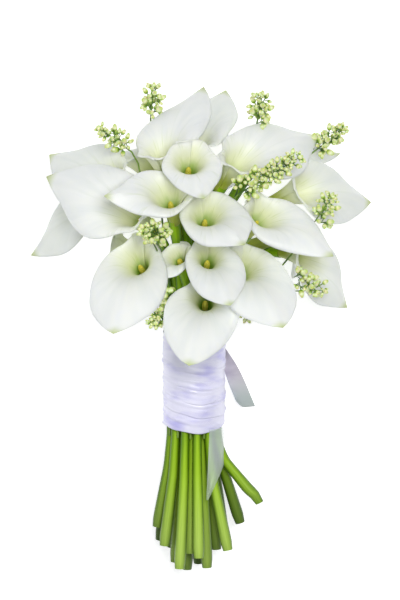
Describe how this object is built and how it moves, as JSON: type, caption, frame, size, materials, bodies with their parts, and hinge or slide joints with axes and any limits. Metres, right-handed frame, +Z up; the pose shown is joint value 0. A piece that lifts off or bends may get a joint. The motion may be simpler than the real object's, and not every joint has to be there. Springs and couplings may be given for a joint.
{
  "type": "calla lily bouquet",
  "caption": "Hand-tied bouquet of white calla lilies with bud sprays, its stems bound in a satin ribbon, lying on its back.",
  "frame": {"origin": "middle of the footprint, on the surface that the bouquet lies on", "axes": "+Y along the bouquet from the cut stems to the flowers, +X to its right seen from above, +Z up"},
  "size_m": [0.261, 0.3956, 0.1708],
  "materials": {
    "calla": "white waxy petal with a yellow-green throat, on a light green stem",
    "spadix": "granular yellow",
    "buds": "cream-green buds on dark green twigs",
    "satin": "pale lavender satin with soft folds",
    "tape": "matt green floral tape"
  },
  "bodies": {
    "root": {"calla_01": "calla", "calla_02": "calla", "calla_03": "calla", "calla_04": "calla", "calla_05": "calla", "calla_06": "calla", "calla_07": "calla", "calla_08": "calla", "calla_09": "calla", "calla_10": "calla", "calla_11": "calla", "calla_12": "calla", "calla_13": "calla", "calla_14": "calla", "calla_15": "calla", "calla_16": "calla", "calla_17": "calla", "calla_18": "calla", "calla_19": "calla", "calla_20": "calla", "calla_21": "calla", "calla_22": "calla", "calla_23": "calla", "spadix_01": "spadix", "spadix_02": "spadix", "spadix_03": "spadix", "spadix_04": "spadix", "spadix_05": "spadix", "spadix_06": "spadix", "spadix_07": "spadix", "spadix_08": "spadix", "spadix_09": "spadix", "spadix_10": "spadix", "spadix_11": "spadix", "spadix_12": "spadix", "spadix_13": "spadix", "spadix_14": "spadix", "spadix_15": "spadix", "spadix_16": "spadix", "spadix_17": "spadix", "spadix_18": "spadix", "spadix_19": "spadix", "spadix_20": "spadix", "spadix_21": "spadix", "spadix_22": "spadix", "spadix_23": "spadix", "bud_spray_01": "buds", "bud_spray_02": "buds", "bud_spray_03": "buds", "bud_spray_04": "buds", "bud_spray_05": "buds", "bud_spray_06": "buds", "bud_spray_07": "buds", "bud_spray_08": "buds", "bud_spray_09": "buds", "bud_spray_10": "buds", "binding_tape": "tape", "satin_wrap": "satin", "ribbon_tail_right": "satin", "ribbon_tail_front": "satin"}
  },
  "joints": []
}
